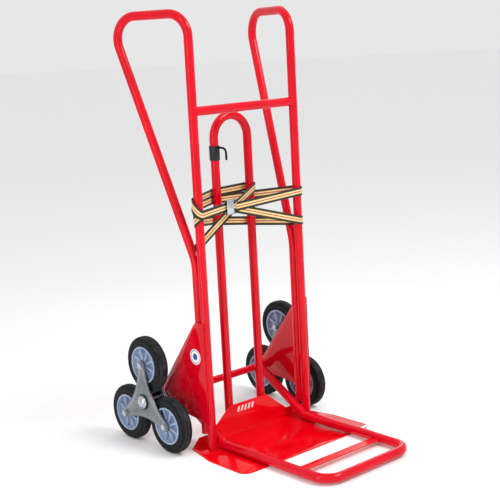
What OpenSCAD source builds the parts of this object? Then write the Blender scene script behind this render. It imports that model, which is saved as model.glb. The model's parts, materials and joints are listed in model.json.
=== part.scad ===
// Stair-climbing hand truck: welded tube frame, folding toe extension and two three-wheel stars.
// +Z is up, the toe plate points to -Y and the wheels to +Y. The origin is on the underside of
// the toe plate, midway between the two uprights.

/* [Frame] */
// Distance between the centre lines of the two uprights
frame_w = 370; // [330:1:450]
// Outside diameter of the frame tube
tube_d = 25; // [20:0.5:32]
// Wall thickness of every frame tube
tube_wall = 2; // [1.5:0.1:3]
// Height of the centre line of the handle loops
handle_h = 1208; // [1100:1:1400]
// How far back the handle loops would reach with square corners
handle_reach = 254; // [200:1:280]
// How far the back of each loop stands outside its upright
handle_splay = 70; // [40:1:90]
// Bend radius of the two upper corners of a loop
loop_bend_r = 62; // [45:1:80]
// Height at which the sloping tube meets the upright
knee_h = 540; // [450:1:650]
// Bend radius where the sloping tube turns down
knee_bend_r = 150; // [100:1:200]
// Gap that the weld fills between an upright and the tube behind it
weld_gap = 0.6; // [0.4:0.1:2]
// Height of the lower end of the tube behind the upright
rear_foot_h = 48; // [40:1:70]
// Height of the upper cross tube
cross_h = 950; // [900:1:1050]

/* [Centre hoop] */
// Distance between the centre lines of the hoop's legs
hoop_w = 124; // [100:1:160]
// Height of the centre line of the hoop at its top
hoop_h = 925; // [820:1:930]
// Height of the lower ends of the hoop's legs
hoop_foot_h = 12; // [8:1:30]

/* [Toe plate] */
// How far each side of the toe plate stands outside the upright's centre line
plate_side = 62; // [45:1:85]
// The same at the rear edge of the toe plate
plate_rear_side = 33; // [20:1:40]
// How far the toe plate reaches in front of the uprights
plate_front = 206; // [180:1:240]
// How far behind the uprights the bent-up flange stands
flange_back = 50; // [45:1:60]
// Height of the middle of the flange
flange_h = 91; // [70:1:110]
// Width of the flange at its top
flange_top_w = 142; // [130:1:180]
// Height of the low lip at both ends of the flange
lip_h = 28; // [15:1:34]
// How far inside the uprights' centre lines the flange rises from its lip
flange_side = 35; // [20:1:60]
// Thickness of the toe plate
sheet_t = 4; // [3:0.5:5]
// Radius of the front corners of the toe plate
plate_corner_r = 30; // [10:1:60]

/* [Axle] */
// How far the axle stands behind the uprights
axle_back = 175; // [165:1:200]
// Diameter of the axle shaft
axle_d = 16; // [14:0.5:18]
// Outside diameter of the fixed tube round the axle
axle_tube_d = 22; // [21:0.5:25]
// Thickness of the gusset plates
gusset_t = 3; // [2:0.5:5]
// Height of the top edge of the gussets
gusset_h = 372; // [340:1:420]
// Height of the front lower corner of the gussets
gusset_foot_h = 80; // [70:1:95]
// Radius of the gusset's rounded end round the axle
gusset_r = 30; // [24:1:40]
// Length of the spacer tube between a gusset and its star
spacer_l = 35.6; // [30:0.1:50]

/* [Stars and wheels] */
// Gap between two neighbouring tyres of a star
wheel_gap = 25.33; // [12:0.01:40]
// Thickness of the star plates
star_t = 3; // [2:0.5:4]
// Clear distance between the two plates of a star
hub_l = 43.6; // [43:0.1:52]
// Radius of the rounded end of each arm of a star
arm_end_r = 15; // [13:0.5:18]
// Distance from the axle to the hollow edge between two arms
star_waist = 46; // [36:1:50]
// Depth of the stiffening rim along the hollow edges, from the outer face
star_rim = 6; // [4:0.5:6]
// Diameter of the tyres
wheel_d = 160; // [140:1:170]
// Width of the tyres
tyre_w = 34; // [28:1:34]
// Radius of the tyre's shoulders
tyre_shoulder_r = 12; // [8:1:13]
// Diameter of the wheel rims
rim_d = 106.4; // [96:0.2:112]
// Number of ribs on each face of a rim
rim_ribs = 8; // [5:1:12]
// Diameter of the wheel bolts
bolt_d = 10; // [8:1:10]

/* [Toe extension] */
// Outside diameter of the extension tube
ext_d = 26; // [22:0.5:28]
// How far the front bar stands in front of the uprights
ext_reach = 427; // [380:1:460]
// Bend radius of the two front corners
ext_corner_r = 50; // [40:1:70]
// How far in front of the uprights the arms turn up
ext_knee = 20; // [10:1:40]
// Bend radius where the arms turn up
ext_knee_r = 60; // [40:1:90]
// How far the flat crossbar stands in front of the uprights
crossbar_reach = 316; // [280:1:340]
// Width of the flat crossbar
crossbar_w = 26; // [15:1:40]
// Thickness of the flat crossbar
crossbar_t = 5; // [4:0.5:8]
// Length of each pivot sleeve on the axle tube
sleeve_l = 26; // [22:1:26]
// Wall thickness of the pivot sleeves
sleeve_wall = 3.5; // [2.5:0.5:5]

/* [Latch] */
// Height of the upper end of the latch sleeve
latch_h = 845; // [800:1:855]
// Length of the latch sleeve
latch_l = 41; // [30:1:60]
// Diameter of the latch hook's rod
hook_d = 6; // [5:0.5:8]

/* [Strap] */
// Width of the webbing
webbing_w = 25; // [20:1:30]
// Thickness of the webbing
webbing_t = 1.6; // [1.2:0.1:2.5]

/* [Hidden] */
$fn = 64;
fit = 0.05;            // running clearance on the radius
clear = 0.3;           // gap between pieces that pass each other
ext_clear = 0.5;       // gap between an extension arm and its upright
bend_lap = 0.3;        // how far a straight part of a tube runs into a bend
bend_thin = 0.02;      // how much thinner the wall of a bend is on each face
up_x = frame_w / 2;
tube_r = tube_d / 2;
rear_y = tube_d + weld_gap;
hoop_y = flange_back + sheet_t + tube_r;
hoop_x = hoop_w / 2;
star_r = (wheel_d + wheel_gap) / sqrt(3);   // from the axle to each wheel's bolt
axle_z = wheel_d / 2 + star_r / 2;
axle_r = axle_d / 2;
axle_tube_r = axle_tube_d / 2;
// Stations along the axle, from the gusset outwards
gusset_x = up_x + tube_r;
spacer_x = gusset_x + gusset_t;
bush_flange_t = 2;
bush_flange_r = 23;
bush_wall = 2;
star_x = spacer_x + spacer_l + clear + bush_flange_t;
star_in_x = star_x + star_t;
star_out_x = star_in_x + hub_l;
star_face_x = star_out_x + star_t;
wheel_x = star_in_x + hub_l / 2;
cap_x = star_face_x + bush_flange_t + clear;
cap_r = 19;
cap_h = 11.5;
hub_r = 18;
bush_l = 14;
// Wheels
rim_r = rim_d / 2;
rim_half = tyre_w / 2 + 1.2;
rim_lip = 5.5;
rim_web_t = 6;
rim_hub_half = hub_l / 2 - 0.8;
rim_hub_r = 11.6;
ridge_r = 3;
ridge_half = 5;
star_rim_t = 2.5;
rib_t = 4;
rib_half = 10;
bolt_r = bolt_d / 2;
bolt_gap = 0.1;
wheel_sleeve_r = bolt_r + 2.5;
bolt_af = 1.7 * bolt_d;
bolt_head = 0.64 * bolt_d;
nut_h = 0.8 * bolt_d;
thread_end = 3;
// Toe extension
ext_r = ext_d / 2;
ext_z = sheet_t + clear + ext_r;
arm_x = up_x - tube_r - ext_clear - ext_r;
sleeve_r = axle_tube_r + fit;
sleeve_out_r = sleeve_r + sleeve_wall;
// Latch
latch_wall = 2.4;
latch_r = tube_r + 0.1;
hook_y = hoop_y - 49.5;
hook_bend = 14;
hook_drop = 34;
// Strap: heights and places where the webbing changes direction
wrap_r = tube_r + clear;
wrap_t = webbing_t + 0.8;
strap_r = wrap_r + wrap_t / 2;
buckle = [-80, -2, 681];
buckle_w = 34;
buckle_h = 40;
buckle_wall = 2;
buckle_depth = 12;
lever_pin_r = 2.5;
buckle_y = buckle[1] - 4 - buckle_wall - 0.1;

// ---------- helpers ----------

function unit(v) = v / norm(v);

// A point on a circle of radius r round c, at angle a
function on_circle(c, r, a) = [c[0] + r * cos(a), c[1] + r * sin(a)];

// Points of an arc round c from angle a0 to a1
function arc(c, r, a0, a1, steps) =
    [for (i = [0 : steps]) on_circle(c, r, a0 + (a1 - a0) * i / steps)];

// Puts its children in the frame whose X, Y and Z axes are u, v and w, with its origin at p
module in_frame(p, u, v, w) {
    multmatrix([
        [u[0], v[0], w[0], p[0]],
        [u[1], v[1], w[1], p[1]],
        [u[2], v[2], w[2], p[2]],
        [0, 0, 0, 1]
    ]) children();
}

// A straight pipe, or a bar when wall is 0, from p to q
module pipe(p, q, r, wall) {
    z = unit(q - p);
    x = unit(cross(abs(z[2]) > 0.9 ? [1, 0, 0] : [0, 0, 1], z));
    in_frame(p, x, cross(z, x), z)
        difference() {
            cylinder(h = norm(q - p), r = r);
            if (wall > 0) translate([0, 0, -1]) cylinder(h = norm(q - p) + 2, r = r - wall);
        }
}

// How far before corner i of a path the bend begins
function setback(path, radii, i) =
    i == 0 || i == len(path) - 1 ? 0 :
    let (a = unit(path[i] - path[i - 1]), b = unit(path[i + 1] - path[i]))
    radii[i] * tan(acos(a * b) / 2);

// Cross-section of a tube, or of a bar when wall is 0, with its wall thinned by less on both faces
module section(r, wall, less = 0) {
    difference() {
        circle(r = r - less);
        if (wall > 0) circle(r = r - wall + less);
    }
}

// The rest of a bent tube, drawn from the start of straight part i, which runs along +Z here.
// x is where this frame's X axis points.
module tube_run(path, radii, i, x, r, wall) {
    z = unit(path[i + 1] - path[i]);
    length = norm(path[i + 1] - path[i]) - setback(path, radii, i) - setback(path, radii, i + 1);
    lap_in = i == 0 ? 0 : bend_lap;
    lap_out = i == len(path) - 2 ? 0 : bend_lap;
    translate([0, 0, -lap_in]) linear_extrude(length + lap_in + lap_out) section(r, wall);
    if (i < len(path) - 2) {
        next = unit(path[i + 2] - path[i + 1]);
        turn = acos(z * next);
        inward = unit(next - z * (z * next));
        bend_r = radii[i + 1];
        translate([0, 0, length])
            rotate([0, 0, atan2(inward * cross(z, x), inward * x)]) {
                translate([bend_r, 0, 0])
                    in_frame([0, 0, 0], [-1, 0, 0], [0, 0, 1], [0, 1, 0])
                        rotate_extrude(angle = turn)
                            translate([bend_r, 0]) section(r, wall, bend_thin);
                translate([bend_r, 0, 0])
                    rotate([0, turn, 0])
                        translate([-bend_r, 0, 0])
                            tube_run(path, radii, i + 1, inward * cos(turn) - z * sin(turn), r, wall);
            }
    }
}

// A tube bent at every inner corner of a path; radii has one entry for each corner
module bent_tube(path, radii, r, wall) {
    z = unit(path[1] - path[0]);
    x = unit(cross(abs(z[2]) > 0.9 ? [0, -1, 0] : [0, 0, 1], z));
    in_frame(path[0], x, cross(z, x), z) tube_run(path, radii, 0, x, r, wall);
}

// A cylinder along X from x0 to x1, at a place on the YZ plane
module bar_x(x0, x1, r, y = axle_back, z = axle_z) {
    translate([min(x0, x1), y, z]) rotate([0, 90, 0]) cylinder(h = abs(x1 - x0), r = r);
}

module ring_x(x0, x1, r_out, r_in, y = axle_back, z = axle_z) {
    difference() {
        bar_x(x0, x1, r_out, y, z);
        bar_x(min(x0, x1) - 1, max(x0, x1) + 1, r_in, y, z);
    }
}

// A sheet lying on the YZ plane, from x0 to x0 + t, with an outline in (y, z)
module sheet_x(x0, t, outline) {
    translate([x0, 0, 0])
        in_frame([0, 0, 0], [0, 1, 0], [0, 0, 1], [1, 0, 0])
            linear_extrude(t) polygon(outline);
}

// ---------- frame ----------

// Upright, handle loop, sloping tube and rear tube are one bent tube; side is -1 or 1
module side_tube(side) {
    path = [
        [side * up_x, 0, sheet_t],
        [side * up_x, 0, handle_h],
        [side * (up_x + handle_splay), handle_reach, handle_h],
        [side * up_x, rear_y, knee_h],
        [side * up_x, rear_y, rear_foot_h]
    ];
    radii = [0, loop_bend_r, loop_bend_r, knee_bend_r, 0];
    bent_tube(path, radii, tube_r, tube_wall);
}

module left_side_tube() { color("crimson") side_tube(-1); }

module right_side_tube() { color("crimson") side_tube(1); }

// The upright's shape is cut from each end of a tube that runs into it
module top_cross_tube() {
    color("crimson")
        difference() {
            pipe([-up_x, 0, cross_h], [up_x, 0, cross_h], tube_r, tube_wall);
            for (side = [-1, 1])
                translate([side * up_x, 0, cross_h - tube_d])
                    cylinder(h = 2 * tube_d, r = tube_r);
        }
}

module centre_hoop() {
    path = [
        [-hoop_x, hoop_y, hoop_foot_h],
        [-hoop_x, hoop_y, hoop_h],
        [hoop_x, hoop_y, hoop_h],
        [hoop_x, hoop_y, hoop_foot_h]
    ];
    leg_top = hoop_h - hoop_x;
    color("crimson") {
        for (side = [-1, 1])
            pipe([side * hoop_x, hoop_y, hoop_foot_h], [side * hoop_x, hoop_y, leg_top],
                tube_r, tube_wall);
        in_frame([0, hoop_y, leg_top], [1, 0, 0], [0, 0, 1], [0, -1, 0])
            rotate_extrude(angle = 180)
                translate([hoop_x, 0])
                    difference() {
                        circle(r = tube_r);
                        circle(r = tube_r - tube_wall);
                    }
    }
}

// Flat plate with a bent-up rear flange, which is high in the middle and low at the ends
module toe_plate() {
    half = up_x + plate_side;
    rear = up_x + plate_rear_side;
    flange_x = up_x - flange_side;
    taper_y = -flange_back - 5;
    corner = [half - plate_corner_r, -plate_front + plate_corner_r];
    right = concat(
        [[rear, flange_back + sheet_t], [half - 2, taper_y]],
        arc(corner, plate_corner_r, 0, -90, 8)
    );
    left = [for (i = [len(right) - 1 : -1 : 0]) [-right[i][0], right[i][1]]];
    lip_end = rear - (rear - flange_x) * 0.4;
    flange_right = [
        [rear, 0], [lip_end, lip_h], [flange_x, lip_h], [flange_top_w / 2, flange_h]
    ];
    flange_left = [for (i = [3 : -1 : 0]) [-flange_right[i][0], flange_right[i][1]]];
    color("red") {
        linear_extrude(sheet_t) polygon(concat(right, left));
        in_frame([0, flange_back + sheet_t, 0], [1, 0, 0], [0, 0, 1], [0, -1, 0])
            linear_extrude(sheet_t) polygon(concat(flange_right, flange_left));
    }
}

// Angle on a circle round c at which a line from p touches it, on the given side
function touch_angle(p, c, r, side) =
    let (d = [p[0] - c[0], p[1] - c[1]])
    atan2(d[1], d[0]) + side * acos(r / norm(d));

// Plate that carries the axle, outside the upright and the tube behind it
module gusset(side) {
    front = -7;
    top_back = rear_y + 0.4;
    top = [top_back + 12, gusset_h - 12];
    foot = [rear_y + 4, gusset_foot_h + 8];
    axle = [axle_back, axle_z];
    from = touch_angle(top, axle, gusset_r, -1);
    to = touch_angle(foot, axle, gusset_r, 1);
    outline = concat(
        [[front, gusset_foot_h], [front, gusset_h], [top_back, gusset_h], top],
        arc(axle, gusset_r, from, to, 20),
        [foot]
    );
    x0 = side > 0 ? gusset_x : -gusset_x - gusset_t;
    color("firebrick")
        difference() {
            sheet_x(x0, gusset_t, outline);
            bar_x(x0 - 1, x0 + gusset_t + 1, axle_r + 0.4);
        }
}

module left_gusset() { gusset(-1); }

module right_gusset() { gusset(1); }

// ---------- axle ----------

module axle_tube() {
    color("crimson") ring_x(-gusset_x, gusset_x, axle_tube_r, axle_r + 0.5);
}

module axle_shaft() {
    color("silver") bar_x(-cap_x - 5, cap_x + 5, axle_r);
}

collar_l = 9;
collar_r = axle_tube_r + 3.5;

module axle_spacers() {
    color("silver")
        for (side = [-1, 1])
            ring_x(side * spacer_x, side * (spacer_x + spacer_l), axle_tube_r, axle_r + 0.1);
}

// Clamping collars on the spacers, each with its set screw
module spacer_collars() {
    color("gainsboro")
        for (side = [-1, 1]) {
            middle = side * (spacer_x + 11);
            ring_x(middle - collar_l / 2, middle + collar_l / 2, collar_r, axle_tube_r + 0.1);
            translate([middle, axle_back, axle_z + collar_r - 1])
                cylinder(h = 5, r = 3.2, $fn = 6);
        }
}

// Domed push-on caps over the ends of the axle
module hub_caps() {
    dome_r = (cap_r * cap_r + cap_h * cap_h) / (2 * cap_h);
    color("white")
        for (side = [-1, 1])
            translate([side * cap_x, axle_back, axle_z])
                rotate([0, side * 90, 0])
                    rotate_extrude()
                        difference() {
                            intersection() {
                                translate([0, cap_h - dome_r]) circle(r = dome_r);
                                square([cap_r + 1, cap_h + 1]);
                            }
                            translate([-1, -1]) square([axle_r + 1.1, 6.1]);
                        }
}

// Plain round label on the left gusset
module gusset_label() {
    color("white")
        bar_x(-spacer_x - 0.6, -spacer_x, 22.5, 34, gusset_h - 100);
}

// ---------- strap ----------

// The left-hand normal of the way from a to b
function beside(a, b) = let (d = unit(b - a)) [-d[1], d[0]];

// Corner of a path that passes a tube at c on its left-hand side, coming from a and going to b
function round_corner(a, c, b) =
    let (m = beside(a, c), n = beside(c, b)) c + (m + n) * strap_r / (1 + m * n);

function at(p, z) = [p[0], p[1], z];

// A flat band of webbing from p to q, standing on edge
module band(p, q) {
    u = unit(q - p);
    n = unit(cross([0, 0, 1], u));
    in_frame(p - u * 0.4, u, n, cross(u, n))
        translate([0, -webbing_t / 2, -webbing_w / 2])
            cube([norm(q - p) + 0.8, webbing_t, webbing_w]);
}

module bands(points) {
    for (i = [0 : len(points) - 2]) band(points[i], points[i + 1]);
}

// Webbing round a tube at c, from angle a0 to a1 and height z0 to z1
module wrap(c, z0, z1, a0, a1) {
    translate([c[0], c[1], z0])
        rotate([0, 0, a0])
            rotate_extrude(angle = a1 - a0)
                translate([wrap_r, 0]) square([wrap_t, z1 - z0]);
}

module strap() {
    half = webbing_w / 2;
    left = [-up_x, 0];
    right = [up_x, 0];
    hoop_l = [-hoop_x, hoop_y];
    hoop_rt = [hoop_x, hoop_y];
    out_l = left + beside(left, hoop_l) * strap_r;
    out_r = right + beside(hoop_rt, right) * strap_r;
    behind_l = round_corner(left, hoop_l, hoop_rt);
    behind_r = round_corner(hoop_l, hoop_rt, right);
    entry = [buckle[0] - buckle_w / 2 - 2, buckle_y - webbing_t / 2];
    exit = [buckle[0] + buckle_w / 2 + 4, buckle_y - webbing_t / 2];
    tail = [exit[0], buckle[1]];
    exit_mid = exit - [0, 2.1];
    exit_low = exit - [0, 4];
    a_left = touch_angle(entry, left, strap_r, -1);
    a_hoop = touch_angle(exit, hoop_rt, strap_r, 1);
    a_mid = touch_angle(exit_mid, right, strap_r, 1);
    a_low = touch_angle(exit_low, right, strap_r, 1);
    a_tail = touch_angle(tail, left, strap_r, 1);
    back_l = atan2(out_l[1], out_l[0] + up_x);
    back_r = atan2(out_r[1], out_r[0] - up_x);
    z = buckle[2];
    fold_r = (tail[1] - exit[1]) / 2;
    color("goldenrod") {
        // through the buckle, and from it round the left upright
        band(at(entry, z), at(exit, z));
        band(at(on_circle(left, strap_r, a_left), z - 9), at(entry, z));
        wrap(left, z - 26, z + 16, back_l, a_left + 360);
        // behind the hoop and round its right leg
        bands([at(out_l, z + 22), at(behind_l, z + 33), [hoop_x, hoop_y + strap_r, z + 33]]);
        wrap(hoop_rt, z + 31 - half, z + 31 + half, a_hoop, 90);
        band(at(exit, z + 2), at(on_circle(hoop_rt, strap_r, a_hoop), z + 31));
        // round the right upright, high and low
        bands([at(out_l, z - 5), at(behind_l, z + 4), at(behind_r, z + 4), at(out_r, z + 6)]);
        wrap(right, z + 9 - half, z + 9 + half, a_mid, back_r);
        band(at(exit_mid, z - 4), at(on_circle(right, strap_r, a_mid), z + 9));
        bands([at(out_l, z - 32), at(behind_l, z - 52), at(behind_r, z - 72), at(out_r, z - 80)]);
        wrap(right, z - 76 - half, z - 76 + half, a_low, back_r);
        band(at(exit_low, z - 8), at(on_circle(right, strap_r, a_low), z - 76));
        // the tail, folded behind the buckle and tucked behind the left upright
        translate([exit[0], exit[1] + fold_r, z - half])
            rotate([0, 0, -90])
                rotate_extrude(angle = 180)
                    translate([fold_r - wrap_t / 2, 0]) square([wrap_t, webbing_w]);
        band(at(tail, z - 5), at(on_circle(left, strap_r, a_tail), z - 99));
        wrap(left, z - 105 - half, z - 105 + half, a_tail, a_tail + 60);
    }
}

// Pressed channel that the webbing runs through
module buckle_body() {
    color("silver")
        translate([buckle[0], buckle[1] - 4, buckle[2]]) {
            difference() {
                translate([-buckle_w / 2, -buckle_depth, -buckle_h / 2])
                    cube([buckle_w, buckle_depth, buckle_h]);
                translate([-buckle_w, -buckle_depth - buckle_wall, -buckle_h / 2 + buckle_wall])
                    cube([2 * buckle_w, buckle_depth, buckle_h - 2 * buckle_wall]);
                translate([4, -buckle_depth / 2 - 2, -buckle_h / 2 - 1])
                    cylinder(h = buckle_h + 2, r = lever_pin_r + fit);
            }
        }
}

// Cam lever that grips the webbing, on its own pin
module buckle_lever() {
    inner = buckle_h - 2 * buckle_wall - 1;
    color("gainsboro")
        translate([buckle[0] + 4, buckle[1] - 6 - buckle_depth / 2, buckle[2]]) {
            translate([0, 0, -buckle_h / 2]) cylinder(h = buckle_h, r = lever_pin_r);
            translate([0, 0, -inner / 2]) cylinder(h = inner, r = 4.2);
            translate([-22, -4.2, -inner / 2]) cube([22, 2.4, inner]);
        }
}

// ---------- toe extension ----------

function arm_start(side) = [side * arm_x, axle_back, axle_z];

module extension_frame() {
    path = [
        arm_start(-1), [-arm_x, -ext_knee, ext_z], [-arm_x, -ext_reach, ext_z],
        [arm_x, -ext_reach, ext_z], [arm_x, -ext_knee, ext_z], arm_start(1)
    ];
    radii = [0, ext_knee_r, ext_corner_r, ext_corner_r, ext_knee_r, 0];
    color("crimson")
        difference() {
            bent_tube(path, radii, ext_r, tube_wall);
            bar_x(-up_x, up_x, sleeve_out_r);
        }
}

// Flat bar between the arms
module extension_crossbar() {
    reach = arm_x - ext_r + tube_wall;
    color("crimson")
        difference() {
            translate([-reach, -crossbar_reach - crossbar_w / 2, ext_z - crossbar_t / 2])
                cube([2 * reach, crossbar_w, crossbar_t]);
            for (side = [-1, 1])
                translate([side * arm_x, -crossbar_reach + crossbar_w, ext_z])
                    rotate([90, 0, 0]) cylinder(h = 2 * crossbar_w, r = ext_r);
        }
}

module extension_sleeves() {
    color("crimson")
        for (side = [-1, 1])
            ring_x(side * arm_x - sleeve_l / 2, side * arm_x + sleeve_l / 2, sleeve_out_r, sleeve_r);
}

// ---------- latch ----------

module latch_sleeve() {
    color("dimgray")
        translate([-hoop_x, hoop_y, latch_h - latch_l])
            difference() {
                cylinder(h = latch_l, r = latch_r + latch_wall);
                translate([0, 0, -1]) cylinder(h = latch_l + 2, r = latch_r);
            }
}

module latch_hook() {
    top = latch_h - 2 * hook_d / 3;
    start = hoop_y - latch_r - latch_wall / 2;
    color("black")
        difference() {
            bent_tube([
                    [-hoop_x, start, top],
                    [-hoop_x, hook_y, top - 2],
                    [-hoop_x, hook_y, top - hook_drop]
                ], [0, hook_bend, 0], hook_d / 2, 0);
            translate([-hoop_x, hoop_y, latch_h - latch_l])
                cylinder(h = latch_l + 1, r = latch_r + latch_wall);
        }
}

// ---------- stars and wheels ----------

// Place of wheel i on its star: 0 is on top, 1 at the rear and 2 at the front
function wheel_yz(i) = on_circle([axle_back, axle_z], star_r, 90 - 120 * i);

// Radius of the hollow edge that runs smoothly into two neighbouring arm ends
hollow_r = (pow(arm_end_r, 2) - pow(star_waist, 2) - pow(star_r, 2) + star_waist * star_r)
    / (2 * star_waist - star_r - 2 * arm_end_r);

// Outline of a star, moved inwards by inset
function star_outline(inset) =
    let (far_d = hollow_r + star_waist,
         lean = -atan2(-far_d * sin(60), far_d * cos(60) - star_r),
         first = 180 - lean, last = 60 + lean)
    [for (i = [0 : 2])
        let (a = 90 - 120 * i, far = on_circle([axle_back, axle_z], far_d, a - 60))
        each concat(
            arc(wheel_yz(i), arm_end_r - inset, a + lean, a - lean, 12),
            [for (k = [1 : 13])
                on_circle(far, hollow_r + inset, a + first + (last - first) * k / 14)]
        )];

// One plate of a star with a stiffening rim turned towards the wheels
module star_plate(side, outer) {
    face = outer ? star_face_x : star_x;
    dir = outer ? -1 : 1;
    flat = side * (face + dir * star_t);
    deep = side * (face + dir * star_rim);
    color("silver")
        difference() {
            union() {
                sheet_x(min(side * face, flat), star_t, star_outline(0));
                difference() {
                    sheet_x(min(side * face, deep), star_rim, star_outline(0));
                    sheet_x(min(side * face, deep) - 1, star_rim + 2, star_outline(star_rim_t));
                }
            }
            bar_x(side * (face - 20), side * (face + 20), axle_r + bush_wall + 0.1);
            for (i = [0 : 2])
                bar_x(side * (face - 20), side * (face + 20), bolt_r + bolt_gap,
                    wheel_yz(i)[0], wheel_yz(i)[1]);
        }
}

// Tube that holds the two plates of a star apart at the axle
module star_hub(side) {
    color("silver")
        ring_x(side * star_in_x, side * star_out_x, hub_r, axle_r + bush_wall + 0.1);
}

// Flanged plastic bushes in both ends of the star's hub
module star_bushes(side) {
    bore = axle_r + fit;
    color("black") {
        ring_x(side * (star_x - bush_flange_t), side * star_x, bush_flange_r, bore);
        ring_x(side * (star_x - 0.5), side * (star_in_x + bush_l), axle_r + bush_wall, bore);
        ring_x(side * star_face_x, side * (star_face_x + bush_flange_t), bush_flange_r, bore);
        ring_x(side * (star_out_x - bush_l), side * (star_face_x + 0.5), axle_r + bush_wall, bore);
    }
}

// Hexagon bolts with their heads on the outside
module wheel_bolts(side) {
    color("silver")
        for (i = [0 : 2]) {
            y = wheel_yz(i)[0];
            z = wheel_yz(i)[1];
            bar_x(side * (star_x - nut_h - thread_end), side * (star_face_x + 1), bolt_r, y, z);
            translate([side > 0 ? star_face_x : -star_face_x - bolt_head, y, z])
                rotate([0, 90, 0])
                    cylinder(h = bolt_head, r = bolt_af / sqrt(3), $fn = 6);
        }
}

module wheel_nuts(side) {
    color("gainsboro")
        for (i = [0 : 2])
            difference() {
                translate([side > 0 ? star_x - nut_h : -star_x, wheel_yz(i)[0], wheel_yz(i)[1]])
                    rotate([0, 90, 0])
                        cylinder(h = nut_h, r = bolt_af / sqrt(3), $fn = 6);
                bar_x(side * (star_x - 20), side * (star_x + 1), bolt_r + 0.05,
                    wheel_yz(i)[0], wheel_yz(i)[1]);
            }
}

// Steel tubes on the bolts, clamped between the plates, that the wheels turn on
module wheel_sleeves(side) {
    color("gainsboro")
        for (i = [0 : 2])
            ring_x(side * star_in_x, side * star_out_x, wheel_sleeve_r, bolt_r + bolt_gap,
                wheel_yz(i)[0], wheel_yz(i)[1]);
}

// Turns a profile drawn in (radius, distance along the axle) round the centre of a wheel
module wheel_turning(side, i) {
    translate([side * wheel_x, wheel_yz(i)[0], wheel_yz(i)[1]])
        rotate([0, 90, 0])
            rotate_extrude() children();
}

// Solid tyre with rounded shoulders and a groove that locks it on the rim
module tyre(side, i) {
    bore = rim_r + 0.1;
    outer = wheel_d / 2;
    half = tyre_w / 2;
    s = tyre_shoulder_r;
    color("black")
        wheel_turning(side, i)
            difference() {
                union() {
                    translate([bore, -half]) square([outer - s - bore, tyre_w]);
                    translate([bore, -half + s]) square([outer - bore, tyre_w - 2 * s]);
                    for (end = [-1, 1])
                        translate([outer - s, end * (half - s)]) circle(r = s);
                }
                translate([bore - 1, -ridge_half - 0.1]) square([ridge_r + 1, 2 * ridge_half + 0.2]);
            }
}

// Moulded rim: seat for the tyre, web with ribs on both faces, and a hub
module rim(side, i) {
    bore = wheel_sleeve_r + fit;
    color("lightsteelblue") {
        wheel_turning(side, i) {
            translate([rim_r - rim_lip, -rim_half]) square([rim_lip, 2 * rim_half]);
            translate([rim_r - 1, -ridge_half]) square([ridge_r + 1, 2 * ridge_half]);
            translate([rim_hub_r - 1, -rim_web_t / 2]) square([rim_r - rim_hub_r, rim_web_t]);
            translate([bore, -rim_hub_half]) square([rim_hub_r - bore, 2 * rim_hub_half]);
        }
        for (k = [0 : rim_ribs - 1])
            translate([side * wheel_x, wheel_yz(i)[0], wheel_yz(i)[1]])
                rotate([360 * k / rim_ribs + 22.5, 0, 0])
                    translate([-rib_half, -rib_t / 2, rim_hub_r - 1])
                        cube([2 * rib_half, rib_t, rim_r - rim_lip - rim_hub_r + 1.5]);
    }
}

module left_star_outer_plate() { star_plate(-1, true); }

module left_star_inner_plate() { star_plate(-1, false); }

module left_star_hub() { star_hub(-1); }

module left_star_bushes() { star_bushes(-1); }

module left_wheel_bolts() { wheel_bolts(-1); }

module left_wheel_nuts() { wheel_nuts(-1); }

module left_wheel_sleeves() { wheel_sleeves(-1); }

module right_star_outer_plate() { star_plate(1, true); }

module right_star_inner_plate() { star_plate(1, false); }

module right_star_hub() { star_hub(1); }

module right_star_bushes() { star_bushes(1); }

module right_wheel_bolts() { wheel_bolts(1); }

module right_wheel_nuts() { wheel_nuts(1); }

module right_wheel_sleeves() { wheel_sleeves(1); }

module left_top_tyre() { tyre(-1, 0); }

module left_rear_tyre() { tyre(-1, 1); }

module left_front_tyre() { tyre(-1, 2); }

module left_top_rim() { rim(-1, 0); }

module left_rear_rim() { rim(-1, 1); }

module left_front_rim() { rim(-1, 2); }

module right_top_tyre() { tyre(1, 0); }

module right_rear_tyre() { tyre(1, 1); }

module right_front_tyre() { tyre(1, 2); }

module right_top_rim() { rim(1, 0); }

module right_rear_rim() { rim(1, 1); }

module right_front_rim() { rim(1, 2); }

// ---------- output ----------

left_side_tube();
right_side_tube();
top_cross_tube();
centre_hoop();
toe_plate();
left_gusset();
right_gusset();
axle_tube();
axle_shaft();
axle_spacers();
spacer_collars();
hub_caps();
gusset_label();
strap();
buckle_body();
buckle_lever();
extension_frame();
extension_crossbar();
extension_sleeves();
latch_sleeve();
latch_hook();
left_star_outer_plate();
left_star_inner_plate();
left_star_hub();
left_star_bushes();
left_wheel_bolts();
left_wheel_nuts();
left_wheel_sleeves();
right_star_outer_plate();
right_star_inner_plate();
right_star_hub();
right_star_bushes();
right_wheel_bolts();
right_wheel_nuts();
right_wheel_sleeves();
left_top_tyre();
left_rear_tyre();
left_front_tyre();
left_top_rim();
left_rear_rim();
left_front_rim();
right_top_tyre();
right_rear_tyre();
right_front_tyre();
right_top_rim();
right_rear_rim();
right_front_rim();
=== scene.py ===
# %% [markdown]
# # A stair-climbing hand truck, finished in Blender
# The CAD model fixes every place and size. This file keeps its tubes and plates, gives them real finishes,
# and replaces what the CAD draws simply: tyres, rims, bolts, nuts, axle caps and the webbing strap. It adds
# the weld beads, the pressed lines of the star plates and the marks on the toe plate.
# We load the frame first, because every later step asks it where things are.

# %% Load the frame
import json
import math
import bmesh
import bpy
import numpy as np
from mathutils import Matrix, Vector

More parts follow.
